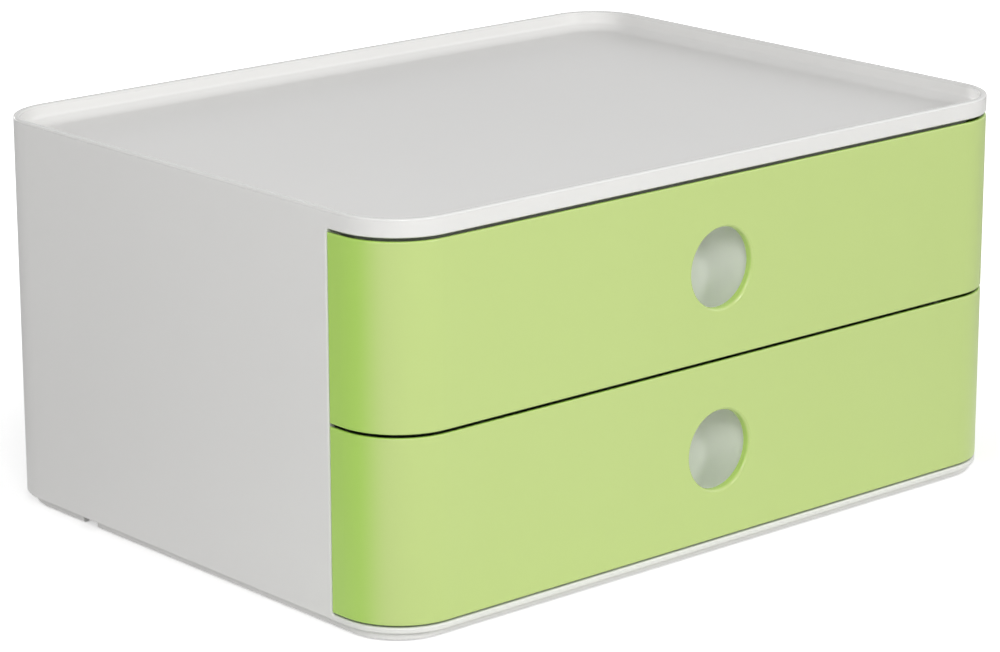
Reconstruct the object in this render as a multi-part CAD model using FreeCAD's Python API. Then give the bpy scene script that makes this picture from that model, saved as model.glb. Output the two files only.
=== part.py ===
import FreeCAD, Part
import os

# Desktop storage box with two drawers, in millimetres.
# +X is to the right, +Y to the rear and +Z up. The origin is under the middle of the box, on the desk.

# ---- Outer size ----
box_width = 260.0
box_depth = 195.0
box_height = 125.0            # from the bottom of the plinth to the top of the rim
front_corner_radius = 21.0
rear_corner_radius = 19.5

# ---- Rubber feet ----
foot_radius = 6.0
foot_thickness = 1.6
foot_stand_off = 0.5          # how far a foot reaches below the plinth
foot_edge_radius = 0.3
foot_side_inset = 18.0        # from the side of the box to the middle of a foot
foot_end_inset = 19.5         # from the front or rear of the box to the middle of a foot
foot_pocket_gap = 0.2
foot_boss_wall = 2.0

# ---- Housing shell ----
wall = 2.2
top_panel_thickness = 2.2
lip_height = 1.8              # the floor, which shows at the front as a thin lip
lip_edge_radius = 0.5
plinth_height = 2.5
plinth_rib = 2.0
plinth_side_inset = 1.8
plinth_front_inset = 2.4
plinth_rear_inset = 2.2
plinth_front_radius = 17.5
plinth_rear_radius = 20.0
plinth_edge_radius = 0.6
notch_width = 7.2             # gap in the plinth at each side
notch_from_rear = 45.6        # from the rear of the box to the middle of the notch

# ---- Rim round the top panel ----
rim_width = 2.0
rim_outer_radius = 0.6
rim_inner_radius = 0.7
rim_wall_drop = 3.9           # steep part of the inner side
rim_wall_lean = 0.7
cove_drop = 2.3               # sloping part between the steep wall and the panel
cove_run = 2.7
cove_bend_radius = 1.5
cove_foot_radius = 5.0

# ---- Front opening ----
cap_height = 5.65             # front face of the top, above the drawers
seam_setback = 27.3           # from the front of the box to the end of the drawer fronts at the sides
opening_corner_radius = 1.2
opening_edge_radius = 0.6
rebate_gap = 0.6              # between the back of a drawer front and the edge of the top panel
rebate_lean = 2.7             # how far that edge leans back, so that its wall stays even under the slope

# ---- Drawer fronts ----
drawer_count = 2
front_thickness = 2.4
front_edge_radius = 0.5
front_edge_relief = 1.5       # how much the back of a drawer front is bevelled at its top and bottom
gap_under_cap = 1.0
gap_between_fronts = 1.0
gap_over_lip = 0.6
seam_gap = 0.35
grip_hole_radius = 12.5
grip_rim_radius = 1.0

# ---- Drawer trays ----
tray_wall = 1.8
tray_floor = 1.8
tray_rise = 2.0               # from the bottom of the drawer front to the bottom of the tray
tray_top_gap = 8.2            # from the rim of the tray to the top of the drawer front
tray_side_gap = 9.0           # from the side of the box to the tray
tray_rear_gap = 7.3           # from the tray to the rear wall
tray_draft = 1.4              # how much narrower the tray is at its bottom, at each side
tray_front_radius = 14.0
tray_rear_radius = 12.0
tray_bottom_radius = 4.0
tray_rim_radius = 0.6

# ---- Grip recess behind the hole ----
recess_radius = 15.0
recess_height = 34.0
recess_drop = 3.2             # from the middle of the hole down to the middle of the recess
recess_bend_radius = 3.5

# ---- Pins that hold the drawer front to the tray ----
pin_radius = 2.5
pin_hole_gap = 0.2
pin_head_radius = 4.2
pin_head_height = 1.2
pin_head_bend = 0.5
pin_spread = 75.0             # from the middle to a pin
pin_edge_distance = 14.0      # from the top or bottom of the drawer front to a pin

# ---- Runners ----
flange_thickness = 2.0
flange_front_setback = 24.0   # from the front of the box to the flange of the tray
runner_strip = 2.0
runner_ledge = 2.0
runner_gap = 0.3
ledge_tray_gap = 0.9
flange_side_gap = 0.5
runner_front_gap = 1.9        # behind the seam
runner_rear_gap = 1.0         # from the runner to the start of the rear corner
stop_length = 4.0
stop_lug_height = 2.8
stop_lug_length = 15.0        # with the depth of the box this gives a drawer 125 mm of travel

# ---- Levels and places that follow ----
half_width = box_width / 2
half_depth = box_depth / 2
plinth_bottom = foot_stand_off
rim_top = plinth_bottom + box_height
lip_bottom = plinth_bottom + plinth_height
floor_top = lip_bottom + lip_height
cap_bottom = rim_top - cap_height
panel_top = rim_top - rim_wall_drop - cove_drop
panel_bottom = panel_top - top_panel_thickness
seam_y = -half_depth + seam_setback
rear_inside = half_depth - wall
side_inside = half_width - wall
front_height = (
    cap_bottom - gap_under_cap - floor_top - gap_over_lip - (drawer_count - 1) * gap_between_fronts
) / drawer_count
front_pitch = front_height + gap_between_fronts
tray_height = front_height - tray_rise - tray_top_gap
tray_half_width = half_width - tray_side_gap
tray_front = -half_depth + front_thickness
tray_rear = rear_inside - tray_rear_gap
runner_face = side_inside - runner_strip
runner_front = seam_y + runner_front_gap
channel_height = flange_thickness + stop_lug_height + 2 * runner_gap
overshoot = 10.0              # how far a cutting shape reaches past what it cuts
close = 1e-3                  # places nearer than this are the same place


def rounded_wire(half_x, front_y, rear_y, front_radius, rear_radius, z):
    """A closed outline with two front and two rear corner radii, at height z."""
    corners = (
        (half_x, front_y, -1, 1, front_radius),
        (half_x, rear_y, -1, -1, rear_radius),
        (-half_x, rear_y, 1, -1, rear_radius),
        (-half_x, front_y, 1, 1, front_radius),
    )
    arcs = []
    for x, y, inward_x, inward_y, radius in corners:
        centre = FreeCAD.Vector(x + inward_x * radius, y + inward_y * radius, z)
        along_x = FreeCAD.Vector(0, -inward_y * radius, 0)
        along_y = FreeCAD.Vector(-inward_x * radius, 0, 0)
        middle = (along_x + along_y) * (radius / (along_x + along_y).Length)
        ends = (along_x, along_y) if inward_x * inward_y < 0 else (along_y, along_x)
        arcs.append([centre + ends[0], centre + middle, centre + ends[1]])
    edges = []
    for index, points in enumerate(arcs):
        edges.append(Part.Arc(*points).toShape())
        next_start = arcs[(index + 1) % len(arcs)][0]
        edges.append(Part.LineSegment(points[-1], next_start).toShape())
    return Part.Wire(edges)


def prism(wire, height):
    """The solid above a flat outline."""
    return Part.Face(wire).extrude(FreeCAD.Vector(0, 0, height))


def box_outline(inset, z):
    """The outer outline of the box, moved inwards by an inset."""
    return rounded_wire(
        half_width - inset,
        -half_depth + inset,
        half_depth - inset,
        front_corner_radius - inset,
        rear_corner_radius - inset,
        z,
    )


def block(low, high):
    """A box between two opposite corners."""
    size = [b - a for a, b in zip(low, high)]
    return Part.makeBox(*size, FreeCAD.Vector(*low))


def edges_at_height(shape, z):
    """The edges that lie wholly at one height."""
    boxes = [(edge, edge.BoundBox) for edge in shape.Edges]
    return [edge for edge, box in boxes if abs(box.ZMin - z) < close and abs(box.ZMax - z) < close]


def mirrored(shape):
    """The same piece for the other side."""
    return shape.mirror(FreeCAD.Vector(0, 0, 0), FreeCAD.Vector(1, 0, 0))


def top_recess():
    """What is taken out above the panel: a steep wall, then a slope, then the flat panel."""
    bend_z = rim_top - rim_wall_drop
    bend_inset = rim_width + rim_wall_lean
    lean_above = rim_wall_lean * overshoot / rim_wall_drop
    mouth = box_outline(rim_width - lean_above, rim_top + overshoot)
    bend = box_outline(bend_inset, bend_z)
    panel = box_outline(bend_inset + cove_run, panel_top)
    steep = Part.makeLoft([mouth, bend], True, True)
    slope = Part.makeLoft([bend, panel], True, True)
    recess = steep.fuse(slope)
    recess = recess.makeFillet(cove_foot_radius, edges_at_height(recess, panel_top))
    return recess.makeFillet(cove_bend_radius, edges_at_height(recess, bend_z))


def front_rebate():
    """The space that the drawer fronts fill, round both front corners."""
    zone = block(
        (-half_width - overshoot, -half_depth - overshoot, floor_top),
        (half_width + overshoot, seam_y, cap_bottom),
    )
    seam_edges = [
        edge for edge in zone.Edges
        if edge.BoundBox.YMin > seam_y - opening_corner_radius and edge.BoundBox.XLength > box_width
    ]
    zone = zone.makeFillet(opening_corner_radius, seam_edges)
    behind = front_thickness + rebate_gap
    panel_edge = Part.makeLoft(
        [box_outline(behind + rebate_lean, panel_bottom), box_outline(behind, cap_bottom)], True, True
    )
    return zone.cut(panel_edge)


def drawer_bay():
    """The inside of the shell, open at the front."""
    wire = rounded_wire(
        side_inside,
        -half_depth - overshoot,
        rear_inside,
        wall,
        rear_corner_radius - wall,
        floor_top,
    )
    return prism(wire, panel_bottom - floor_top)


def plinth_outline(inset):
    """The outline of the plinth, moved inwards by an inset."""
    return rounded_wire(
        half_width - plinth_side_inset - inset,
        -half_depth + plinth_front_inset + inset,
        half_depth - plinth_rear_inset - inset,
        plinth_front_radius - inset,
        plinth_rear_radius - inset,
        plinth_bottom,
    )


def plinth():
    """A low ring under the floor, with a notch at each side."""
    ring = prism(plinth_outline(0), plinth_height)
    ring = ring.makeFillet(plinth_edge_radius, edges_at_height(ring, plinth_bottom))
    ring = ring.cut(prism(plinth_outline(plinth_rib), plinth_height))
    notch_middle = half_depth - notch_from_rear
    notch = block(
        (-half_width, notch_middle - notch_width / 2, plinth_bottom),
        (half_width, notch_middle + notch_width / 2, lip_bottom),
    )
    return ring.cut(notch)


def foot_places():
    """Name and middle of each foot."""
    places = {}
    for side, x in (("left", -half_width + foot_side_inset), ("right", half_width - foot_side_inset)):
        for end, y in (("front", -half_depth + foot_end_inset), ("rear", half_depth - foot_end_inset)):
            places[end + "_" + side] = FreeCAD.Vector(x, y, 0)
    return places


def foot():
    """A round rubber foot, at the origin."""
    disc = Part.makeCylinder(foot_radius, foot_thickness)
    return disc.makeFillet(foot_edge_radius, edges_at_height(disc, 0))


def foot_boss():
    """The socket under the floor that holds a foot, at the origin."""
    boss_radius = foot_radius + foot_pocket_gap + foot_boss_wall
    boss = Part.makeCylinder(boss_radius, plinth_height, FreeCAD.Vector(0, 0, plinth_bottom))
    return boss.cut(Part.makeCylinder(foot_radius + foot_pocket_gap, foot_thickness))


def inner_rim_edges(shell):
    """The edges at the top of the rim that lie along its inner side."""
    outline = box_outline(0, rim_top)
    between = (rim_outer_radius + rim_width) / 2
    return [edge for edge in edges_at_height(shell, rim_top) if edge.distToShape(outline)[0] > between]


def housing_shell():
    """Top panel with its rim, both sides, rear, floor, lip and plinth in one moulding."""
    shell = prism(box_outline(0, lip_bottom), rim_top - lip_bottom)
    shell = shell.makeFillet(rim_outer_radius, edges_at_height(shell, rim_top))
    shell = shell.makeFillet(lip_edge_radius, edges_at_height(shell, lip_bottom))
    shell = shell.cut(top_recess())
    shell = shell.makeFillet(rim_inner_radius, inner_rim_edges(shell))
    shell = shell.cut(drawer_bay())
    shell = shell.cut(front_rebate())
    shell = shell.makeFillet(opening_edge_radius, opening_edges(shell))
    shell = shell.fuse(plinth())
    for place in foot_places().values():
        shell = shell.fuse(foot_boss().translated(place))
    return shell.removeSplitter()


def opening_edges(shell):
    """The outer upright edges where the side walls end at the drawer fronts."""
    found = []
    for edge in shell.Edges:
        bounds = edge.BoundBox
        upright = bounds.ZLength > box_height / 2
        at_side = min(abs(bounds.XMin), abs(bounds.XMax)) > half_width - close
        if upright and at_side and abs(bounds.YMax - seam_y) < close:
            found.append(edge)
    return found


def front_bottom(level):
    """Height of the bottom of a drawer front, counted from the lowest drawer."""
    return floor_top + gap_over_lip + level * front_pitch


def grip_centre():
    """Middle of the grip hole, above the bottom of the drawer front."""
    return front_height / 2


def along_depth(radius, length, x, y, z):
    """A cylinder that runs to the rear."""
    return Part.makeCylinder(radius, length, FreeCAD.Vector(x, y, z), FreeCAD.Vector(0, 1, 0))


def pin_places():
    """Places of the pins, as x and height above the bottom of the drawer front."""
    heights = (pin_edge_distance, front_height - pin_edge_distance)
    return [(x, z) for x in (-pin_spread, pin_spread) for z in heights]


def drawer_front():
    """The coloured front that wraps round both corners, with its bottom at height 0."""
    body = prism(box_outline(0, 0), front_height)
    end_y = seam_y - seam_gap
    rest = block(
        (-half_width - overshoot, end_y, -overshoot),
        (half_width + overshoot, half_depth + overshoot, front_height + overshoot),
    )
    body = body.cut(rest)
    body = body.makeFillet(front_edge_radius, front_outer_edges(body, end_y))
    body = body.cut(behind_front())
    hole = along_depth(grip_hole_radius, front_thickness, 0, -half_depth, grip_centre())
    body = body.cut(hole)
    body = body.makeFillet(grip_rim_radius, hole_mouth(body))
    for x, z in pin_places():
        body = body.fuse(fixing_pin(x, z))
    return body.removeSplitter()


def behind_front():
    """The space behind a drawer front, with a bevel at its top and bottom."""
    space = prism(box_outline(front_thickness, -overshoot), front_height + 2 * overshoot)
    for edge_z, inward in ((0, 1), (front_height, -1)):
        wide = box_outline(front_thickness - front_edge_relief, edge_z)
        narrow = box_outline(front_thickness, edge_z + inward * front_edge_relief)
        space = space.fuse(Part.makeLoft([wide, narrow], True, True))
    return space


def front_outer_edges(body, end_y):
    """The edges to round: along the top and bottom, and upright at both rear ends."""
    level = edges_at_height(body, 0) + edges_at_height(body, front_height)
    round_the_front = [edge for edge in level if edge.BoundBox.YMin < end_y - close]
    at_end = [edge for edge in body.Edges if edge.BoundBox.YMin > end_y - close]
    return round_the_front + [edge for edge in at_end if edge.BoundBox.ZLength > front_height / 2]


def hole_mouth(body):
    """The round edge of the grip hole on the outer face."""
    return [
        edge for edge in body.Edges
        if abs(edge.BoundBox.YMax + half_depth) < close
        and abs(edge.BoundBox.XLength - 2 * grip_hole_radius) < close
    ]


def fixing_pin(x, z):
    """A pin behind the drawer front, closed by a flat head inside the tray."""
    shank = along_depth(pin_radius, tray_wall, x, tray_front, z)
    head = along_depth(pin_head_radius, pin_head_height, x, tray_front + tray_wall, z)
    rear = tray_front + tray_wall + pin_head_height
    head = head.makeFillet(pin_head_bend, [edge for edge in head.Edges if edge.BoundBox.YMin > rear - close])
    return shank.fuse(head)


def tray_section(inset, z):
    """Outline of the tray at a height above its bottom, which narrows downwards."""
    lean = tray_draft * (1 - z / tray_height)
    return rounded_wire(
        tray_half_width - lean - inset,
        tray_front + inset,
        tray_rear - lean - inset,
        tray_front_radius - inset,
        tray_rear_radius - inset,
        z,
    )


def recess_body(radius, height, bend, middle):
    """An upright round with soft ends, centred on the front face of the tray."""
    low = middle - height / 2
    body = Part.makeCylinder(radius, height, FreeCAD.Vector(0, tray_front, low))
    return body.makeFillet(bend, edges_at_height(body, low) + edges_at_height(body, low + height))


def tray_flange():
    """The flange at the right side that hangs in the runner, with its stop lug."""
    outer = runner_face - flange_side_gap
    inner = tray_half_width - tray_wall / 2
    low = tray_height - flange_thickness
    rear = tray_rear - tray_rear_radius
    strip = block((inner, -half_depth + flange_front_setback, low), (outer, rear, tray_height))
    lug_low = (outer - flange_bearing(), rear - stop_lug_length, tray_height)
    lug = block(lug_low, (outer, rear, tray_height + stop_lug_height))
    return strip.fuse(lug)


def flange_bearing():
    """Width over which the flange lies on its ledge."""
    return runner_face - flange_side_gap - tray_half_width - ledge_tray_gap


def drawer_tray():
    """The open tray behind the drawer front, with its bottom at height 0."""
    outer = Part.makeLoft([tray_section(0, 0), tray_section(0, tray_height)], True, True)
    outer = outer.makeFillet(tray_bottom_radius, edges_at_height(outer, 0))
    inner = Part.makeLoft(
        [tray_section(tray_wall, tray_floor), tray_section(tray_wall, tray_height + overshoot)], True, True
    )
    inner = inner.makeFillet(tray_bottom_radius - tray_wall, edges_at_height(inner, tray_floor))
    tray = outer.cut(inner)
    tray = tray.makeFillet(tray_rim_radius, edges_at_height(tray, tray_height))
    middle = grip_centre() - tray_rise - recess_drop
    column_top = middle + recess_height / 2 + tray_wall
    column = Part.makeCylinder(recess_radius + tray_wall, column_top, FreeCAD.Vector(0, tray_front, 0))
    column = column.makeFillet(recess_bend_radius + tray_wall, edges_at_height(column, column_top))
    tray = tray.fuse(column.common(outer))
    tray = tray.cut(recess_body(recess_radius, recess_height, recess_bend_radius, middle))
    core_height = middle - recess_height / 2 - tray_wall
    core = Part.makeCylinder(recess_radius, core_height, FreeCAD.Vector(0, tray_front + tray_wall, 0))
    behind_wall = block(
        (-recess_radius, tray_front + tray_wall, 0),
        (recess_radius, tray_front + tray_wall + recess_radius, core_height),
    )
    tray = tray.cut(core.common(behind_wall))
    for x, z in pin_places():
        hole = along_depth(pin_radius + pin_hole_gap, tray_wall, x, tray_front, z - tray_rise)
        tray = tray.cut(hole)
    flange = tray_flange()
    return tray.fuse([flange, mirrored(flange)]).removeSplitter()


def runner():
    """The right runner of the lowest drawer: a channel with a stop at its front."""
    rear = half_depth - rear_corner_radius - runner_rear_gap
    flange_bottom = front_bottom(0) + tray_rise + tray_height - flange_thickness
    channel_bottom = flange_bottom - runner_gap
    channel_top = channel_bottom + channel_height
    tip = tray_half_width + ledge_tray_gap
    strip = block(
        (runner_face, runner_front, channel_bottom - runner_ledge),
        (side_inside, rear, channel_top + runner_ledge),
    )
    lower = block((tip, runner_front, channel_bottom - runner_ledge), (runner_face, rear, channel_bottom))
    upper = block((tip, runner_front, channel_top), (runner_face, rear, channel_top + runner_ledge))
    stop_bottom = flange_bottom + flange_thickness + runner_gap
    stop = block((tip, runner_front, stop_bottom), (runner_face, runner_front + stop_length, channel_top))
    return strip.fuse([lower, upper, stop]).removeSplitter()


def save(name, shape):
    """Write one node."""
    shape.exportStep("parts/" + name + ".step")


os.makedirs("parts", exist_ok=True)
save("housing_shell", housing_shell())
for place_name, place in foot_places().items():
    save("foot_" + place_name, foot().translated(place))
for level, level_name in enumerate(("lower", "upper")):
    lift = FreeCAD.Vector(0, 0, front_bottom(level))
    save("drawer_front_" + level_name, drawer_front().translated(lift))
    save("drawer_tray_" + level_name, drawer_tray().translated(lift + FreeCAD.Vector(0, 0, tray_rise)))
    rise = FreeCAD.Vector(0, 0, level * front_pitch)
    save("runner_" + level_name + "_right", runner().translated(rise))
    save("runner_" + level_name + "_left", mirrored(runner()).translated(rise))
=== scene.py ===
"""Finishes, fine detail and studio for a desktop storage box with two drawers.

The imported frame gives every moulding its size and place. This script dresses the mouldings in
node-based plastics and rubber, turns the small parts that the frame leaves plain, and sets up
a plain white studio. Everything is in metres, in the frame's own axes: +X right, +Y rear, +Z up.
"""

import logging
import math
from dataclasses import dataclass
from enum import Enum

import bmesh
import bpy
from mathutils import Matrix, Vector


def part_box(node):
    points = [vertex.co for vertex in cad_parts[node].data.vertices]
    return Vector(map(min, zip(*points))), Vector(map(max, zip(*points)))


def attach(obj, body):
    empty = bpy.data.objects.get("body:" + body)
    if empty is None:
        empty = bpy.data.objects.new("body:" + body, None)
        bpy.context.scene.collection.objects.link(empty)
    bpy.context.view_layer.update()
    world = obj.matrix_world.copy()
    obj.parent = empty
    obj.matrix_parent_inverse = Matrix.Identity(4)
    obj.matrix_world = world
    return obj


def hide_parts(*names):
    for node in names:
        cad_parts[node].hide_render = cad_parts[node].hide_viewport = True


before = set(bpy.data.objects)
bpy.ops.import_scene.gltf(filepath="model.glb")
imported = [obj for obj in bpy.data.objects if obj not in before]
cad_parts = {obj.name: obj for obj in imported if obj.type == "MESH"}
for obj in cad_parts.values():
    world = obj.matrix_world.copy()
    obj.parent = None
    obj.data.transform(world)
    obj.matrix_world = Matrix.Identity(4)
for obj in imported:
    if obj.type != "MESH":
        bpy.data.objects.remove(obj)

log = logging.getLogger("drawer_box")

Colour = tuple[float, float, float]
Span = tuple[float, float]
Feed = float | tuple[float, ...] | bpy.types.NodeSocket

WHITE = (1.0, 1.0, 1.0)


class Slot(Enum):
    """Material slots of the record."""

    HOUSING = "housing_white"
    FRONT = "front_lime"
    TRAY = "tray_white"
    RUNNER = "runner_white"
    FOOT = "foot_rubber"


class Level(Enum):
    """The two drawers, named by their place in the stack."""

    LOWER = "lower"
    UPPER = "upper"


class Axis(Enum):
    """Output names of a Separate XYZ node."""

    X = "X"
    Y = "Y"
    Z = "Z"


def opaque(colour: Colour) -> tuple[float, ...]:
    """Give a colour the fourth value that a colour socket takes."""
    return (*colour, 1.0)


# ---------------------------------------------------------------------------------------------
# Node wiring
# ---------------------------------------------------------------------------------------------


class Wiring:
    """Adds and links shader nodes in one node tree."""

    # A Mix node keeps sockets for every data type, so its colour sockets are found by number.
    mix_inputs: tuple[int, int, int] = (0, 6, 7)
    mix_result: int = 2

    def __init__(self, tree: bpy.types.NodeTree) -> None:
        """Start from an empty tree.

        Args:
            tree: The tree to fill. Its nodes are removed first.
        """
        self.tree = tree
        tree.nodes.clear()

    def node(self, kind: str, **settings: object) -> bpy.types.Node:
        """Add one node.

        Args:
            kind: The node's type name, without the ShaderNode in front.
            **settings: Properties to set on it.

        Returns:
            The new node.
        """
        made = self.tree.nodes.new("ShaderNode" + kind)
        for name, value in settings.items():
            setattr(made, name, value)
        return made

    def feed(self, socket: bpy.types.NodeSocket, value: Feed) -> None:
        """Link or set an input.

        Args:
            socket: The input.
            value: An output to link, or a plain value to set.
        """
        if isinstance(value, bpy.types.NodeSocket):
            self.tree.links.new(value, socket)
        else:
            socket.default_value = value

    def math(
        self, operation: str, first: Feed, second: Feed = 0.0, third: Feed = 0.0
    ) -> bpy.types.NodeSocket:
        """Add a Math node.

        Args:
            operation: The node's operation, such as ADD.
            first: First operand.
            second: Second operand.
            third: Third operand, for the operations that have one.

        Returns:
            The result.
        """
        made = self.node("Math", operation=operation)
        for socket, value in zip(made.inputs, (first, second, third)):
            self.feed(socket, value)
        return made.outputs[0]

    def ramp(self, value: Feed, low: Feed, high: Feed) -> bpy.types.NodeSocket:
        """Rise smoothly from 0 at one value to 1 at another.

        Args:
            value: What is looked up.
            low: Where the result is 0.
            high: Where the result is 1.

        Returns:
            The result.
        """
        made = self.node("MapRange", interpolation_type="SMOOTHSTEP")
        for name, given in (("Value", value), ("From Min", low), ("From Max", high)):
            self.feed(made.inputs[name], given)
        return made.outputs["Result"]

    def tint(self, amount: Feed, first: Feed, second: Feed) -> bpy.types.NodeSocket:
        """Go from one colour to another.

        Args:
            amount: 0 for the first colour, 1 for the second.
            first: First colour.
            second: Second colour.

        Returns:
            The mixed colour.
        """
        made = self.node("Mix", data_type="RGBA")
        for number, given in zip(self.mix_inputs, (amount, first, second)):
            self.feed(made.inputs[number], given)
        return made.outputs[self.mix_result]

    def distance(self, first: Feed, second: Feed) -> bpy.types.NodeSocket:
        """Measure between two points.

        Args:
            first: One point.
            second: The other point.

        Returns:
            The distance in metres.
        """
        made = self.node("VectorMath", operation="DISTANCE")
        self.feed(made.inputs[0], first)
        self.feed(made.inputs[1], second)
        return made.outputs["Value"]

    def place(self) -> bpy.types.NodeSocket:
        """Point on the piece, in the frame's axes and metres."""
        return self.node("TexCoord").outputs["Object"]

    def along(self, vector: bpy.types.NodeSocket, axis: Axis) -> bpy.types.NodeSocket:
        """Take one coordinate.

        Args:
            vector: The vector.
            axis: Which coordinate.

        Returns:
            That coordinate.
        """
        made = self.node("SeparateXYZ")
        self.feed(made.inputs[0], vector)
        return made.outputs[axis.value]

    def turned(self, vector: Feed, turn: Feed, stretch: Feed) -> bpy.types.NodeSocket:
        """Turn a vector, then scale it.

        Args:
            vector: The vector.
            turn: Euler angles in radians.
            stretch: Scale along each axis, after the turn.

        Returns:
            The mapped vector.
        """
        rotate = self.node("VectorRotate", rotation_type="EULER_XYZ")
        self.feed(rotate.inputs["Vector"], vector)
        self.feed(rotate.inputs["Rotation"], turn)
        scale = self.node("VectorMath", operation="MULTIPLY")
        self.feed(scale.inputs[0], rotate.outputs[0])
        self.feed(scale.inputs[1], stretch)
        return scale.outputs[0]

    def noise(self, vector: Feed, scale: Feed, detail: float) -> bpy.types.NodeSocket:
        """Add a noise texture.

        Args:
            vector: Where it is looked up.
            scale: Waves per metre.
            detail: How many finer layers it has.

        Returns:
            Its value, about 0 to 1.
        """
        made = self.node("TexNoise")
        for name, given in (("Vector", vector), ("Scale", scale), ("Detail", detail)):
            self.feed(made.inputs[name], given)
        return made.outputs["Fac"]

    def effect(self, group: bpy.types.NodeTree, **feeds: Feed) -> bpy.types.Node:
        """Place a node group.

        Args:
            group: The group.
            **feeds: Its inputs, with an underscore for each space in a name.

        Returns:
            The group node.
        """
        made = self.node("Group", node_tree=group)
        for name, value in feeds.items():
            self.feed(made.inputs[name.replace("_", " ")], value)
        return made


@dataclass(frozen=True)
class Port:
    """A named socket of a node group."""

    name: str
    default: float | Colour = 0.0

    @property
    def kind(self) -> str:
        """Socket type that holds the default."""
        return "NodeSocketFloat" if isinstance(self.default, float) else "NodeSocketColor"


class Effect:
    """A shader node group that several finishes share."""

    title: str
    takes: tuple[Port, ...]
    gives: tuple[Port, ...]

    def build(self) -> bpy.types.NodeTree:
        """Make the group.

        Returns:
            The finished node group.
        """
        group = bpy.data.node_groups.new(self.title, "ShaderNodeTree")
        wiring = Wiring(group)
        for direction, ports in (("INPUT", self.takes), ("OUTPUT", self.gives)):
            for port in ports:
                self.add_socket(group, port, direction)
        entry = group.nodes.new("NodeGroupInput")
        leave = group.nodes.new("NodeGroupOutput")
        made = self.wire(wiring, entry.outputs)
        for port in self.gives:
            wiring.feed(leave.inputs[port.name], made[port.name])
        return group

    @staticmethod
    def add_socket(group: bpy.types.NodeTree, port: Port, direction: str) -> None:
        """Add a named socket to a group.

        Args:
            group: The group.
            port: Name and default of the socket.
            direction: INPUT or OUTPUT.
        """
        socket = group.interface.new_socket(name=port.name, in_out=direction, socket_type=port.kind)
        if direction == "INPUT":
            plain = isinstance(port.default, float)
            socket.default_value = port.default if plain else opaque(port.default)

    def wire(self, wiring: Wiring, takes: bpy.types.NodeOutputs) -> dict[str, Feed]:
        """Lay the group's nodes.

        Args:
            wiring: Wiring of the group's tree.
            takes: The group's own inputs, as outputs of its entry node.

        Returns:
            What each output gives, by name.
        """
        raise NotImplementedError


class MouldGrain(Effect):
    """Fine grain of the mould steel over the slow waves of the plastic skin."""

    title = "mould_grain"
    takes = (
        Port("Grain Size", 0.0003),
        Port("Grain Depth", 1e-6),
        Port("Wave Size", 0.004),
        Port("Wave Depth", 2e-6),
    )
    gives = (Port("Height"), Port("Variation"))
    grain_detail: float = 2.0
    wave_detail: float = 1.0
    grain_share: float = 0.4

    def wire(self, wiring: Wiring, takes: bpy.types.NodeOutputs) -> dict[str, Feed]:
        """See Effect.wire."""
        place = wiring.place()
        per_metre = wiring.math("DIVIDE", 1.0, takes["Grain Size"])
        grain = wiring.noise(place, per_metre, self.grain_detail)
        per_metre = wiring.math("DIVIDE", 1.0, takes["Wave Size"])
        wave = wiring.noise(place, per_metre, self.wave_detail)
        grain_height = wiring.math("MULTIPLY", grain, takes["Grain Depth"])
        height = wiring.math("MULTIPLY_ADD", wave, takes["Wave Depth"], grain_height)
        from_wave = wiring.math("MULTIPLY", wave, 1.0 - self.grain_share)
        variation = wiring.math("MULTIPLY_ADD", grain, self.grain_share, from_wave)
        return {"Height": height, "Variation": variation}


class PigmentFlow(Effect):
    """Slow drift of the pigment, drawn out the way the melt ran, with a trace of fine speckle."""

    title = "pigment_flow"
    takes = (
        Port("Color", (0.8, 0.8, 0.8)),
        Port("Drift Color", (0.7, 0.7, 0.7)),
        Port("Drift", 0.3),
        Port("Cloud Size", 0.05),
        Port("Speckle", 0.05),
    )
    gives = (Port("Color", (0.8, 0.8, 0.8)),)
    melt_turn: tuple[float, float, float] = (0.0, 0.0, 0.3)
    melt_stretch: tuple[float, float, float] = (1.0, 0.6, 0.35)
    cloud_detail: float = 3.0
    cloud_span: Span = (0.3, 0.75)
    specks_per_metre: float = 1500.0
    speck_span: Span = (0.62, 0.8)

    def wire(self, wiring: Wiring, takes: bpy.types.NodeOutputs) -> dict[str, Feed]:
        """See Effect.wire."""
        drawn_out = wiring.turned(wiring.place(), self.melt_turn, self.melt_stretch)
        per_metre = wiring.math("DIVIDE", 1.0, takes["Cloud Size"])
        cloud = wiring.noise(drawn_out, per_metre, self.cloud_detail)
        drift = wiring.math("MULTIPLY", wiring.ramp(cloud, *self.cloud_span), takes["Drift"])
        specks = wiring.noise(wiring.place(), self.specks_per_metre, 0.0)
        speck = wiring.ramp(specks, *self.speck_span)
        amount = wiring.math("MULTIPLY_ADD", speck, takes["Speckle"], drift)
        return {"Color": wiring.tint(amount, takes["Color"], takes["Drift Color"])}


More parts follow.
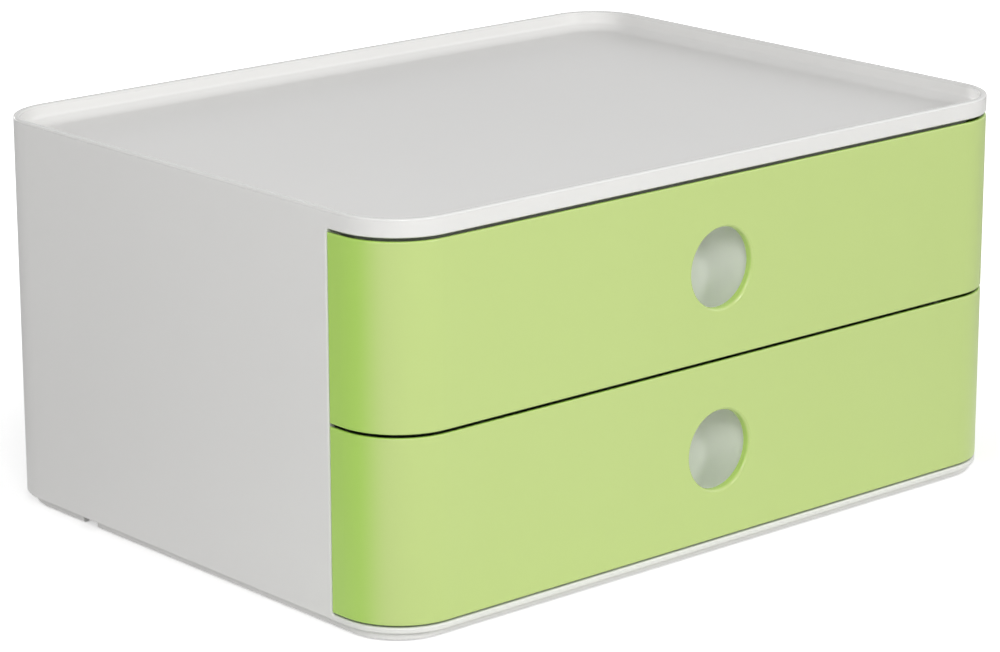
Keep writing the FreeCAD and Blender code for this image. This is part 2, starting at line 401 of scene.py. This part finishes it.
class FineScuffs(Effect):
    """Short hairline rubs in two directions, gathered in patches."""

    title = "fine_scuffs"
    takes = (
        Port("Amount", 0.3),
        Port("Line Length", 0.02),
        Port("Line Width", 0.0002),
        Port("Patch Size", 0.04),
        Port("Turn", 0.4),
    )
    gives = (Port("Mask"), Port("Height"))
    spreads: Span = (0.0, 1.9)
    tilt: dict[str, float] = {"X": 0.12, "Y": 0.16}
    line_share: float = 0.35
    line_span: Span = (0.7, 0.78)
    patch_detail: float = 2.0
    patch_span: Span = (0.45, 0.7)
    depth: float = -1.5e-6

    def wire(self, wiring: Wiring, takes: bpy.types.NodeOutputs) -> dict[str, Feed]:
        """See Effect.wire."""
        place = wiring.place()
        lines = [self.lines(wiring, takes, place, spread) for spread in self.spreads]
        per_metre = wiring.math("DIVIDE", 1.0, takes["Patch Size"])
        patch = wiring.ramp(wiring.noise(place, per_metre, self.patch_detail), *self.patch_span)
        gathered = wiring.math("MULTIPLY", wiring.math("MAXIMUM", *lines), patch)
        mask = wiring.math("MULTIPLY", gathered, takes["Amount"])
        return {"Mask": mask, "Height": wiring.math("MULTIPLY", mask, self.depth)}

    def lines(
        self,
        wiring: Wiring,
        takes: bpy.types.NodeOutputs,
        place: bpy.types.NodeSocket,
        spread: float,
    ) -> bpy.types.NodeSocket:
        """Draw thin lines one way.

        Args:
            wiring: Wiring of the group's tree.
            takes: The group's own inputs.
            place: Point on the piece.
            spread: Turn of these lines from the others, in radians.

        Returns:
            1 on a line and 0 off it.
        """
        turn = wiring.node("CombineXYZ")
        for name, angle in self.tilt.items():
            wiring.feed(turn.inputs[name], angle)
        wiring.feed(turn.inputs["Z"], wiring.math("ADD", takes["Turn"], spread))
        stretch = wiring.node("CombineXYZ")
        wiring.feed(stretch.inputs["X"], wiring.math("DIVIDE", 1.0, takes["Line Length"]))
        for name in ("Y", "Z"):
            across = wiring.math("DIVIDE", self.line_share, takes["Line Width"])
            wiring.feed(stretch.inputs[name], across)
        drawn = wiring.turned(place, turn.outputs[0], stretch.outputs[0])
        return wiring.ramp(wiring.noise(drawn, 1.0, 0.0), *self.line_span)


class SettledDust(Effect):
    """Specks of dust that lie on what faces up."""

    title = "settled_dust"
    takes = (
        Port("Color", (0.8, 0.8, 0.8)),
        Port("Dust Color", (0.62, 0.6, 0.57)),
        Port("Amount", 0.2),
        Port("Speck Spacing", 0.003),
    )
    gives = (Port("Color", (0.8, 0.8, 0.8)), Port("Mask"))
    upward_span: Span = (0.55, 0.95)
    speck_span: Span = (0.09, 0.03)
    chosen_span: Span = (0.8, 0.84)

    def wire(self, wiring: Wiring, takes: bpy.types.NodeOutputs) -> dict[str, Feed]:
        """See Effect.wire."""
        facing = wiring.node("NewGeometry").outputs["Normal"]
        upward = wiring.ramp(wiring.along(facing, Axis.Z), *self.upward_span)
        specks = wiring.node("TexVoronoi", feature="F1")
        wiring.feed(specks.inputs["Vector"], wiring.place())
        wiring.feed(specks.inputs["Scale"], wiring.math("DIVIDE", 1.0, takes["Speck Spacing"]))
        speck = wiring.ramp(specks.outputs["Distance"], *self.speck_span)
        chosen = wiring.ramp(wiring.along(specks.outputs["Color"], Axis.X), *self.chosen_span)
        lying = wiring.math("MULTIPLY", wiring.math("MULTIPLY", speck, chosen), upward)
        mask = wiring.math("MULTIPLY", lying, takes["Amount"])
        return {"Color": wiring.tint(mask, takes["Color"], takes["Dust Color"]), "Mask": mask}


class RubbedEdge(Effect):
    """A band beside an edge that hands and neighbours have rubbed smooth."""

    title = "rubbed_edge"
    takes = (Port("Distance", 0.01), Port("Width", 0.001))
    gives = (Port("Mask"),)
    patches_per_metre: float = 260.0
    patch_detail: float = 3.0
    patch_swing: float = 0.8
    patch_start: float = 0.5

    def wire(self, wiring: Wiring, takes: bpy.types.NodeOutputs) -> dict[str, Feed]:
        """See Effect.wire."""
        near = wiring.ramp(wiring.math("ABSOLUTE", takes["Distance"]), takes["Width"], 0.0)
        patch = wiring.noise(wiring.place(), self.patches_per_metre, self.patch_detail)
        uneven = wiring.math("MULTIPLY_ADD", patch, self.patch_swing, self.patch_start)
        return {"Mask": wiring.math("MINIMUM", wiring.math("MULTIPLY", near, uneven), 1.0)}


class EjectorMarks(Effect):
    """Round marks that the ejector pins of the mould leave on level faces."""

    title = "ejector_marks"
    takes = (
        Port("Spacing X", 0.056),
        Port("Spacing Y", 0.052),
        Port("Pin Radius", 0.004),
        Port("Pin Depth", 4e-5),
    )
    gives = (Port("Height"),)
    level_span: Span = (0.97, 0.995)
    rim_width: float = 1.5e-4

    def wire(self, wiring: Wiring, takes: bpy.types.NodeOutputs) -> dict[str, Feed]:
        """See Effect.wire."""
        place = wiring.place()
        offsets = [
            self.from_nearest(wiring, wiring.along(place, axis), takes["Spacing " + axis.value])
            for axis in (Axis.X, Axis.Y)
        ]
        square = wiring.math("POWER", offsets[1], 2.0)
        away = wiring.math("SQRT", wiring.math("MULTIPLY_ADD", offsets[0], offsets[0], square))
        level = wiring.along(wiring.node("NewGeometry").outputs["Normal"], Axis.Z)
        flat = wiring.ramp(wiring.math("ABSOLUTE", level), *self.level_span)
        edge_start = wiring.math("ADD", takes["Pin Radius"], self.rim_width)
        inside = wiring.math("MULTIPLY", wiring.ramp(away, edge_start, takes["Pin Radius"]), flat)
        sunk = wiring.math("MULTIPLY", takes["Pin Depth"], -1.0)
        return {"Height": wiring.math("MULTIPLY", inside, sunk)}

    @staticmethod
    def from_nearest(wiring: Wiring, value: Feed, spacing: Feed) -> bpy.types.NodeSocket:
        """Measure from the nearest pin along one axis.

        Args:
            wiring: Wiring of the group's tree.
            value: The coordinate.
            spacing: Distance between pins.

        Returns:
            Signed distance, in metres. The first pins lie half a spacing from the middle.
        """
        part = wiring.math("FRACT", wiring.math("DIVIDE", value, spacing))
        return wiring.math("MULTIPLY", wiring.math("SUBTRACT", part, 0.5), spacing)


class GlossMap(Effect):
    """Roughness from a plain value and everything that dulls or polishes it."""

    title = "gloss_map"
    takes = (
        Port("Roughness", 0.3),
        Port("Spread", 0.08),
        Port("Variation", 0.5),
        Port("Scuffs"),
        Port("Dust"),
        Port("Polish"),
        Port("Polish Gain", 0.1),
    )
    gives = (Port("Roughness"),)
    scuff_gain: float = 0.14
    dust_gain: float = 0.35
    smoothest: float = 0.06

    def wire(self, wiring: Wiring, takes: bpy.types.NodeOutputs) -> dict[str, Feed]:
        """See Effect.wire."""
        swing = wiring.math("SUBTRACT", takes["Variation"], 0.5)
        value = wiring.math("MULTIPLY_ADD", swing, takes["Spread"], takes["Roughness"])
        value = wiring.math("MULTIPLY_ADD", takes["Scuffs"], self.scuff_gain, value)
        value = wiring.math("MULTIPLY_ADD", takes["Dust"], self.dust_gain, value)
        gain = wiring.math("MULTIPLY", takes["Polish"], takes["Polish Gain"])
        value = wiring.math("SUBTRACT", value, gain)
        value = wiring.math("MAXIMUM", value, self.smoothest)
        return {"Roughness": wiring.math("MINIMUM", value, 1.0)}


@dataclass(frozen=True)
class EffectKit:
    """The node groups, built once for all the finishes."""

    grain: bpy.types.NodeTree
    pigment: bpy.types.NodeTree
    scuffs: bpy.types.NodeTree
    dust: bpy.types.NodeTree
    rubbed: bpy.types.NodeTree
    ejector: bpy.types.NodeTree
    gloss: bpy.types.NodeTree

    @classmethod
    def build(cls) -> "EffectKit":
        """Build every group once."""
        kinds = (MouldGrain, PigmentFlow, FineScuffs, SettledDust, RubbedEdge, EjectorMarks, GlossMap)
        return cls(*(kind().build() for kind in kinds))


# ---------------------------------------------------------------------------------------------
# Finishes
# ---------------------------------------------------------------------------------------------


@dataclass(frozen=True)
class Finish:
    """A moulded surface: its pigment, its gloss and the grain that the mould gave it."""

    name: str
    colour: Colour
    drift_colour: Colour
    drift: float = 0.35
    cloud_size: float = 0.05
    speckle: float = 0.06
    roughness: float = 0.3
    gloss_spread: float = 0.08
    polish_gain: float = 0.1
    ior: float = 1.5
    grain_size: float = 0.0003
    grain_depth: float = 1.2e-6
    wave_size: float = 0.004
    wave_depth: float = 3e-6
    scuffs: float = 0.3
    scuff_turn: float = 0.4
    dust: float = 0.15

    def build(self, kit: EffectKit) -> bpy.types.Material:
        """Make the material.

        Args:
            kit: The shared node groups.

        Returns:
            The material.
        """
        material = bpy.data.materials.new(self.name)
        material.use_nodes = True
        wiring = Wiring(material.node_tree)
        grain = wiring.effect(
            kit.grain,
            Grain_Size=self.grain_size,
            Grain_Depth=self.grain_depth,
            Wave_Size=self.wave_size,
            Wave_Depth=self.wave_depth,
        )
        scuffs = wiring.effect(kit.scuffs, Amount=self.scuffs, Turn=self.scuff_turn)
        pigment = wiring.effect(
            kit.pigment,
            Color=self.base_colour(wiring),
            Drift_Color=opaque(self.drift_colour),
            Drift=self.drift,
            Cloud_Size=self.cloud_size,
            Speckle=self.speckle,
        )
        dust = wiring.effect(kit.dust, Color=pigment.outputs["Color"], Amount=self.dust)
        gloss = wiring.effect(
            kit.gloss,
            Roughness=self.roughness,
            Spread=self.gloss_spread,
            Variation=grain.outputs["Variation"],
            Scuffs=scuffs.outputs["Mask"],
            Dust=dust.outputs["Mask"],
            Polish=self.polish(wiring, kit),
            Polish_Gain=self.polish_gain,
        )
        height = wiring.math("ADD", grain.outputs["Height"], scuffs.outputs["Height"])
        height = self.relief(wiring, kit, height)
        bump = wiring.node("Bump")
        wiring.feed(bump.inputs["Strength"], 1.0)
        wiring.feed(bump.inputs["Distance"], 1.0)
        wiring.feed(bump.inputs["Height"], height)
        shader = wiring.node("BsdfPrincipled")
        wiring.feed(shader.inputs["IOR"], self.ior)
        wiring.feed(shader.inputs["Base Color"], dust.outputs["Color"])
        wiring.feed(shader.inputs["Roughness"], gloss.outputs["Roughness"])
        wiring.feed(shader.inputs["Normal"], bump.outputs["Normal"])
        wiring.feed(wiring.node("OutputMaterial").inputs["Surface"], shader.outputs["BSDF"])
        return material

    def base_colour(self, wiring: Wiring) -> Feed:
        """Pigment colour before drift and dust.

        Args:
            wiring: Wiring of the material's tree.

        Returns:
            A colour or an output that gives one.
        """
        return opaque(self.colour)

    def polish(self, wiring: Wiring, kit: EffectKit) -> Feed:
        """Where the surface is rubbed smooth.

        Args:
            wiring: Wiring of the material's tree.
            kit: The shared node groups.

        Returns:
            A mask, 0 where nothing rubs.
        """
        return 0.0

    def relief(self, wiring: Wiring, kit: EffectKit, height: Feed) -> Feed:
        """Add this finish's own relief.

        Args:
            wiring: Wiring of the material's tree.
            kit: The shared node groups.
            height: Height so far, in metres.

        Returns:
            Height with the finish's own marks.
        """
        return height


@dataclass(frozen=True)
class HousingWhite(Finish):
    """Satin-gloss white of the housing, polished where hands take the rim."""

    name: str = "housing_white"
    colour: Colour = (0.82, 0.815, 0.8)
    drift_colour: Colour = (0.795, 0.79, 0.775)
    rim_top: float = 0.1255
    rim_band: float = 0.0014

    def polish(self, wiring: Wiring, kit: EffectKit) -> Feed:
        """See Finish.polish."""
        below_rim = wiring.math("SUBTRACT", self.rim_top, wiring.along(wiring.place(), Axis.Z))
        return wiring.effect(kit.rubbed, Distance=below_rim, Width=self.rim_band).outputs["Mask"]


@dataclass(frozen=True)
class FrontLime(Finish):
    """Glossy lime green of the drawer fronts, polished round the mouth of the grip hole.

    The colour holds painted light and shade: the broad front keeps the paler colour, as if lit from
    the front, the faces that turn away are painted a deeper green as shade, and the cut wall of the
    hole is painted lighter, a painted highlight.
    """

    name: str = "front_lime"
    colour: Colour = (0.545, 0.685, 0.238)
    # Painted shade: the deeper green given to faces that turn away from the front.
    side_shade_colour: Colour = (0.43, 0.705, 0.112)
    side_shade_facing: float = 0.24
    front_light_facing: float = 0.7
    drift_colour: Colour = (0.52, 0.662, 0.218)
    drift: float = 0.3
    roughness: float = 0.31
    polish_gain: float = 0.17
    scuffs: float = 0.12
    grain_depth: float = 8e-7
    dust: float = 0.1
    hole_heights: tuple[float, float] = (0.0335, 0.0907)
    hole_radius: float = 0.0125
    # Painted highlight: within this band inside the hole's mouth, the cut wall takes the lighter wall
    # colour below.
    hole_band: float = 0.0024
    wall_highlight_band: float = 0.0006
    wall_highlight_colour: Colour = (0.545, 0.78, 0.185)
    flat_facing: float = 0.995
    rounded_facing: float = 0.93

    def from_mouth(self, wiring: Wiring) -> bpy.types.NodeSocket:
        """Measure how far a point lies outside the nearer finger hole.

        Args:
            wiring: Wiring of the material.

        Returns:
            The distance from the hole's edge in metres, below 0 inside the hole.
        """
        place = wiring.place()
        across = wiring.math("POWER", wiring.along(place, Axis.X), 2.0)
        aways = []
        for hole_height in self.hole_heights:
            up = wiring.math("SUBTRACT", wiring.along(place, Axis.Z), hole_height)
            aways.append(wiring.math("SQRT", wiring.math("MULTIPLY_ADD", up, up, across)))
        return wiring.math("SUBTRACT", wiring.math("MINIMUM", *aways), self.hole_radius)

    def forward(self, wiring: Wiring) -> bpy.types.NodeSocket:
        """How squarely the surface faces the front: 1 on the flat front, 0 on the sides."""
        normal = wiring.node("NewGeometry").outputs["Normal"]
        return wiring.math("MULTIPLY", wiring.along(normal, Axis.Y), -1.0)

    def base_colour(self, wiring: Wiring) -> Feed:
        """See Finish.base_colour."""
        # Painted light and shade: the colour runs from the deeper shaded green on faces turned away
        # to the paler lit green on the broad front.
        front_light_share = wiring.ramp(self.forward(wiring), self.side_shade_facing, self.front_light_facing)
        # Painted highlight on the hole's cut wall, mixed into the shaded side colour.
        wall_highlight = wiring.ramp(self.from_mouth(wiring), self.wall_highlight_band, 0.0)
        side_shade = wiring.tint(wall_highlight, opaque(self.side_shade_colour), opaque(self.wall_highlight_colour))
        return wiring.tint(front_light_share, side_shade, opaque(self.colour))

    def polish(self, wiring: Wiring, kit: EffectKit) -> Feed:
        """See Finish.polish."""
        worn = wiring.effect(kit.rubbed, Distance=self.from_mouth(wiring), Width=self.hole_band)
        rounded = wiring.ramp(self.forward(wiring), self.flat_facing, self.rounded_facing)
        return wiring.math("MULTIPLY", worn.outputs["Mask"], rounded)


@dataclass(frozen=True)
class TrayWhite(Finish):
    """Off-white of the drawer trays, with pin marks on their floors. Its green tint is painted
    reflected light from the lime fronts.
    """

    name: str = "tray_white"
    # Painted reflection: the green in this off-white stands for light bounced from the lime fronts.
    colour: Colour = (0.875, 0.9, 0.85)
    drift_colour: Colour = (0.85, 0.875, 0.825)
    roughness: float = 0.36
    scuffs: float = 0.45
    dust: float = 0.2

    def relief(self, wiring: Wiring, kit: EffectKit, height: Feed) -> Feed:
        """See Finish.relief."""
        return wiring.math("ADD", height, wiring.effect(kit.ejector).outputs["Height"])


@dataclass(frozen=True)
class RunnerWhite(Finish):
    """Waxy white of the runners, rubbed along their length."""

    name: str = "runner_white"
    colour: Colour = (0.78, 0.78, 0.76)
    drift_colour: Colour = (0.74, 0.74, 0.72)
    roughness: float = 0.42
    scuffs: float = 0.8
    scuff_turn: float = 1.57
    dust: float = 0.1


@dataclass(frozen=True)
class FootRubber(Finish):
    """Dull grey rubber of the feet."""

    name: str = "foot_rubber"
    colour: Colour = (0.1, 0.1, 0.104)
    drift_colour: Colour = (0.135, 0.134, 0.132)
    drift: float = 0.6
    cloud_size: float = 0.006
    speckle: float = 0.25
    roughness: float = 0.72
    gloss_spread: float = 0.16
    grain_size: float = 0.00035
    grain_depth: float = 1.2e-5
    scuffs: float = 0.2
    dust: float = 0.0


class PaintShop:
    """Holds one material for each slot of the record."""

    def __init__(self, kit: EffectKit) -> None:
        """Build the materials.

        Args:
            kit: The shared node groups.
        """
        finishes = {
            Slot.HOUSING: HousingWhite(),
            Slot.FRONT: FrontLime(),
            Slot.TRAY: TrayWhite(),
            Slot.RUNNER: RunnerWhite(),
            Slot.FOOT: FootRubber(),
        }
        self.materials = {slot: finish.build(kit) for slot, finish in finishes.items()}

    def dress_node(self, node: str, slot: Slot) -> None:
        """Give a packed moulding its finish.

        Args:
            node: Name of the moulding.
            slot: The finish's slot.
        """
        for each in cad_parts[node].material_slots:
            each.material = self.materials[slot]
        log.info("%s dressed as %s", node, slot.value)

    def dress_piece(self, piece: bpy.types.Object, slot: Slot, body: str) -> None:
        """Give a new piece its finish and hang it on its body.

        Args:
            piece: The piece, in its place.
            slot: The finish's slot.
            body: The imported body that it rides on.
        """
        piece.data.materials.append(self.materials[slot])
        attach(piece, body)
        log.info("%s made, rides on %s", piece.name, body)


# ---------------------------------------------------------------------------------------------
# Small turned parts
# ---------------------------------------------------------------------------------------------


TURN_STEPS = 96
MERGE_DISTANCE = 1e-7
CREASE_ANGLE = math.radians(32)


def turn(name: str, profile: list[Span], centre: Vector) -> bpy.types.Object:
    """Turn a profile about an upright axis.

    Args:
        name: Name of the new piece.
        profile: Points as radius and height, from the axis at one end to the axis at the other.
        centre: Where the axis meets height 0.

    Returns:
        The piece, linked to the scene.
    """
    shape = bmesh.new()
    points = [shape.verts.new((radius, 0.0, height)) for radius, height in profile]
    edges = [shape.edges.new(pair) for pair in zip(points, points[1:])]
    bmesh.ops.spin(
        shape,
        geom=points + edges,
        cent=(0, 0, 0),
        axis=(0, 0, 1),
        angle=math.tau,
        steps=TURN_STEPS,
        use_merge=True,
    )
    bmesh.ops.remove_doubles(shape, verts=shape.verts, dist=MERGE_DISTANCE)
    bmesh.ops.recalc_face_normals(shape, faces=shape.faces)
    shape.transform(Matrix.Translation(centre))
    mesh = bpy.data.meshes.new(name)
    shape.to_mesh(mesh)
    shape.free()
    mesh.shade_smooth()
    mesh.set_sharp_from_angle(angle=CREASE_ANGLE)
    piece = bpy.data.objects.new(name, mesh)
    bpy.context.scene.collection.objects.link(piece)
    return piece


@dataclass
class GateMark:
    """The nub and ring that the sprue of the mould leaves under a floor.

    The nub's outline is in shares of its radius and height, and the thin skin between nub and
    ring is in shares of the ring's height.
    """

    nub_radius: float = 0.0016
    nub_height: float = 0.00045
    nub_outline: tuple[Span, ...] = ((0.0, 1.0), (0.7, 0.9), (1.0, 0.35))
    flare: float = 1.25
    skin: Span = (0.2, 0.15)
    ring_radius: float = 0.0055
    ring_width: float = 0.0007
    ring_height: float = 0.0002

    def profile(self) -> list[Span]:
        """Draw the outline from the axis outwards, hanging down from height 0.

        Returns:
            Points as radius and height.
        """
        inner = self.ring_radius - self.ring_width
        nub = [(self.nub_radius * out, -self.nub_height * down) for out, down in self.nub_outline]
        near_skin, far_skin = (-self.ring_height * share for share in self.skin)
        return [
            *nub,
            (self.nub_radius * self.flare, near_skin),
            (inner - self.ring_width, far_skin),
            (inner, -self.ring_height),
            (self.ring_radius, -self.ring_height),
            (self.ring_radius + self.ring_width, 0.0),
            (0.0, 0.0),
        ]

    def build(self, name: str, place: Vector) -> bpy.types.Object:
        """Make the mark.

        Args:
            name: Name of the piece.
            place: Point of the surface that it hangs from.

        Returns:
            The piece.
        """
        return turn(name, self.profile(), place)


@dataclass
class RubberFoot:
    """A round foot with ring grooves in its tread."""

    node: str
    edge_radius: float = 0.0003
    edge_steps: int = 4
    groove_depth: float = 0.00035
    groove_width: float = 0.0005
    groove_bevel: float = 0.0001
    grooves: int = 3
    groove_pitch: float = 0.0014

    def profile(self, radius: float, height: float) -> list[Span]:
        """Draw the outline from the middle of the tread to the middle of the top.

        Args:
            radius: Outer radius.
            height: Thickness of the foot.

        Returns:
            Points as radius and height.
        """
        points = [(0.0, 0.0)]
        for index in range(self.grooves):
            start = (index + 1) * self.groove_pitch - self.groove_width / 2
            end = start + self.groove_width
            floor = (start + self.groove_bevel, end - self.groove_bevel)
            sunk = [(out, self.groove_depth) for out in floor]
            points += [(start, 0.0), *sunk, (end, 0.0)]
        for step in range(self.edge_steps + 1):
            angle = step / self.edge_steps * math.pi / 2
            out = radius - self.edge_radius * (1 - math.sin(angle))
            points.append((out, self.edge_radius * (1 - math.cos(angle))))
        return points + [(radius, height), (0.0, height)]

    def build(self, shop: PaintShop, body: str) -> None:
        """Turn the foot and let it stand for the plain one.

        Args:
            shop: Where the finishes are.
            body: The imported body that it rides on.
        """
        low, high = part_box(self.node)
        radius = (high.x - low.x) / 2
        centre = Vector(((low.x + high.x) / 2, (low.y + high.y) / 2, low.z))
        piece = turn(self.node + "_tread", self.profile(radius, high.z - low.z), centre)
        shop.dress_piece(piece, Slot.FOOT, body)
        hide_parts(self.node)


# ---------------------------------------------------------------------------------------------
# Sub-assemblies
# ---------------------------------------------------------------------------------------------


@dataclass
class Housing:
    """White housing with four runners and four feet."""

    body: str = "housing"
    shell: str = "housing_shell"
    floor_underside: float = 0.003

    def build(self, shop: PaintShop) -> None:
        """Dress the shell and the runners, and add the feet and the gate mark.

        Args:
            shop: Where the finishes are.
        """
        shop.dress_node(self.shell, Slot.HOUSING)
        for side in ("left", "right"):
            for level in Level:
                shop.dress_node(f"runner_{level.value}_{side}", Slot.RUNNER)
            for end in ("front", "rear"):
                RubberFoot(f"foot_{end}_{side}").build(shop, self.body)
        mark = GateMark().build("housing_gate_mark", Vector((0.0, 0.0, self.floor_underside)))
        shop.dress_piece(mark, Slot.HOUSING, self.body)


@dataclass
class Drawer:
    """One drawer: lime front and off-white tray."""

    level: Level

    @property
    def body(self) -> str:
        """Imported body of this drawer."""
        return self.level.value + "_drawer"

    def build(self, shop: PaintShop) -> None:
        """Dress the front and the tray, and add the gate mark under the tray.

        Args:
            shop: Where the finishes are.
        """
        tray = "drawer_tray_" + self.level.value
        shop.dress_node("drawer_front_" + self.level.value, Slot.FRONT)
        shop.dress_node(tray, Slot.TRAY)
        low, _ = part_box(tray)
        mark = GateMark().build(self.body + "_gate_mark", Vector((0.0, 0.0, low.z)))
        shop.dress_piece(mark, Slot.TRAY, self.body)


# ---------------------------------------------------------------------------------------------
# Studio
# ---------------------------------------------------------------------------------------------


def direction(azimuth: float, elevation: float) -> Vector:
    """Point away from the box.

    Args:
        azimuth: Degrees from straight in front, positive to the right.
        elevation: Degrees above the floor.

    Returns:
        A unit vector.
    """
    turn_round, rise = math.radians(azimuth), math.radians(elevation)
    level = math.cos(rise)
    return Vector((math.sin(turn_round) * level, -math.cos(turn_round) * level, math.sin(rise)))


@dataclass
class Softbox:
    """A large soft lamp that faces the box."""

    name: str
    azimuth: float
    elevation: float
    distance: float
    width: float
    height: float
    power: float

    def build(self, target: Vector) -> None:
        """Hang the lamp.

        Args:
            target: Point that it faces.
        """
        lamp = bpy.data.lights.new(self.name, "AREA")
        lamp.shape = "RECTANGLE"
        lamp.size = self.width
        lamp.size_y = self.height
        lamp.energy = self.power
        holder = bpy.data.objects.new(self.name, lamp)
        outward = direction(self.azimuth, self.elevation)
        holder.rotation_euler = outward.to_track_quat("Z", "Y").to_euler()
        holder.location = target + outward * self.distance
        bpy.context.scene.collection.objects.link(holder)
        log.info("%s hung at %.0f, %.0f degrees", self.name, self.azimuth, self.elevation)


@dataclass
class Viewpoint:
    """The camera's place and lens."""

    azimuth: float = -41.366
    elevation: float = 15.822
    roll: float = -0.115
    distance: float = 1.1995
    lens: float = 134.65
    target: tuple[float, float, float] = (-0.00301, 0.0, 0.05262)

    def build(self) -> None:
        """Make the camera and set it as the scene's own."""
        outward = direction(self.azimuth, self.elevation)
        side = direction(self.azimuth + 90.0, 0.0)
        up = outward.cross(side)
        tilt = math.radians(self.roll)
        right = math.cos(tilt) * side + math.sin(tilt) * up
        above = math.cos(tilt) * up - math.sin(tilt) * side
        camera = bpy.data.objects.new("camera", bpy.data.cameras.new("camera"))
        camera.data.lens = self.lens
        axes = Matrix((right, above, outward)).transposed().to_4x4()
        camera.matrix_world = Matrix.Translation(Vector(self.target) + outward * self.distance) @ axes
        bpy.context.scene.collection.objects.link(camera)
        bpy.context.scene.camera = camera


@dataclass
class Studio:
    """Plain white floor, soft lamps and camera."""

    aim: tuple[float, float, float] = (0.0, 0.0, 0.06)
    floor_size: float = 14.0
    floor_cells: int = 8
    floor_albedo: float = 0.8
    far_floor_glow: float = 0.86
    # Painted shade: close to the box the floor's camera glow falls from the far value to this one,
    # which paints a darker disc around it.
    painted_shade_floor_glow: float = 0.5
    painted_shade_centre: tuple[float, float, float] = (-0.01, -0.04, 0.0)
    painted_shade_inner_radius: float = 0.15
    painted_shade_outer_radius: float = 0.34
    mirrored_floor_glow: float = 0.6
    pool_centre: tuple[float, float, float] = (-0.05, -0.3, 0.0)
    pool_inner_radius: float = 0.1
    pool_outer_radius: float = 0.55
    fill: float = 0.2
    lamps: tuple[Softbox, ...] = (
        Softbox("left_key", -36.0, 33.0, 1.7, 0.5, 0.5, 6.0),
        Softbox("right_key", 15.0, 23.0, 1.7, 0.16, 0.45, 6.2),
        Softbox("side_softbox", -80.0, 30.0, 1.7, 1.2, 1.0, 4.1),
        Softbox("near_left_softbox", -50.0, 30.0, 1.0, 0.8, 0.7, 1.85),
        Softbox("right_softbox", 55.0, 25.0, 1.7, 1.2, 1.0, 5.8),
        Softbox("rear_softbox", -175.0, 9.0, 1.7, 0.7, 0.4, 6.0),
        Softbox("top_softbox", 0.0, 85.0, 1.7, 1.6, 1.6, 0.7),
    )

    def build(self) -> None:
        """Lay the floor, hang the lamps and set the camera."""
        self.lay_floor()
        self.light_world()
        for lamp in self.lamps:
            lamp.build(Vector(self.aim))
        Viewpoint().build()
        bpy.context.scene.view_settings.view_transform = "Standard"

    def looked_at(self, wiring: Wiring, shown: Feed, mirrored: Feed) -> bpy.types.NodeSocket:
        """Give the background one strength where it is shown and another where it is mirrored.

        Args:
            wiring: Wiring of the tree.
            shown: Strength for camera rays.
            mirrored: Strength for glossy and transmission rays.

        Returns:
            The strength, which is 0 for the rays that light the box.
        """
        path = wiring.node("LightPath").outputs
        in_mirror = wiring.math("MAXIMUM", path["Is Glossy Ray"], path["Is Transmission Ray"])
        mirror_part = wiring.math("MULTIPLY", in_mirror, mirrored)
        return wiring.math("MULTIPLY_ADD", path["Is Camera Ray"], shown, mirror_part)

    def lay_floor(self) -> None:
        """Lay a plain pale floor that keeps the shadow of the box."""
        shape = bmesh.new()
        cells = self.floor_cells
        bmesh.ops.create_grid(shape, x_segments=cells, y_segments=cells, size=self.floor_size / 2)
        mesh = bpy.data.meshes.new("floor")
        shape.to_mesh(mesh)
        shape.free()
        floor = bpy.data.objects.new("floor", mesh)
        bpy.context.scene.collection.objects.link(floor)
        mesh.materials.append(self.floor_material())

    def floor_material(self) -> bpy.types.Material:
        """Make the matt floor, which glows for camera and mirror rays alone. Its camera glow is lower
        round the box, a painted shade.

        Returns:
            The material.
        """
        material = bpy.data.materials.new("floor")
        material.use_nodes = True
        wiring = Wiring(material.node_tree)
        shader = wiring.node("BsdfPrincipled")
        wiring.feed(shader.inputs["Base Color"], opaque((self.floor_albedo,) * 3))
        wiring.feed(shader.inputs["Roughness"], 1.0)
        wiring.feed(shader.inputs["Specular IOR Level"], 0.0)
        wiring.feed(shader.inputs["Emission Color"], opaque(WHITE))
        reach = wiring.distance(wiring.place(), self.pool_centre)
        pool = wiring.ramp(reach, self.pool_outer_radius, self.pool_inner_radius)
        in_mirror = wiring.math("MULTIPLY", pool, self.mirrored_floor_glow)
        # Painted shade: the floor seen by the camera glows less near the box, giving a darker disc
        # round it.
        away = wiring.distance(wiring.place(), self.painted_shade_centre)
        near = wiring.ramp(away, self.painted_shade_outer_radius, self.painted_shade_inner_radius)
        painted_shade_drop = self.painted_shade_floor_glow - self.far_floor_glow
        shown = wiring.math("MULTIPLY_ADD", near, painted_shade_drop, self.far_floor_glow)
        glow = self.looked_at(wiring, shown, in_mirror)
        wiring.feed(shader.inputs["Emission Strength"], glow)
        wiring.feed(wiring.node("OutputMaterial").inputs["Surface"], shader.outputs["BSDF"])
        return material

    def light_world(self) -> None:
        """Surround the box with an even fill that shows as white."""
        world = bpy.data.worlds.new("studio")
        world.use_nodes = True
        bpy.context.scene.world = world
        wiring = Wiring(world.node_tree)
        back = wiring.node("Background")
        rest = 1.0 - self.fill
        strength = wiring.math("ADD", self.looked_at(wiring, rest, rest), self.fill)
        wiring.feed(back.inputs["Strength"], strength)
        wiring.feed(back.inputs["Color"], opaque(WHITE))
        wiring.feed(wiring.node("OutputWorld").inputs["Surface"], back.outputs["Background"])


def main() -> None:
    """Dress the box, add its small parts and set the studio."""
    logging.basicConfig(level=logging.INFO, format="%(name)s: %(message)s")
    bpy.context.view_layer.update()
    shop = PaintShop(EffectKit.build())
    Housing().build(shop)
    for level in Level:
        Drawer(level).build(shop)
    Studio().build()


if __name__ == "__main__":
    main()
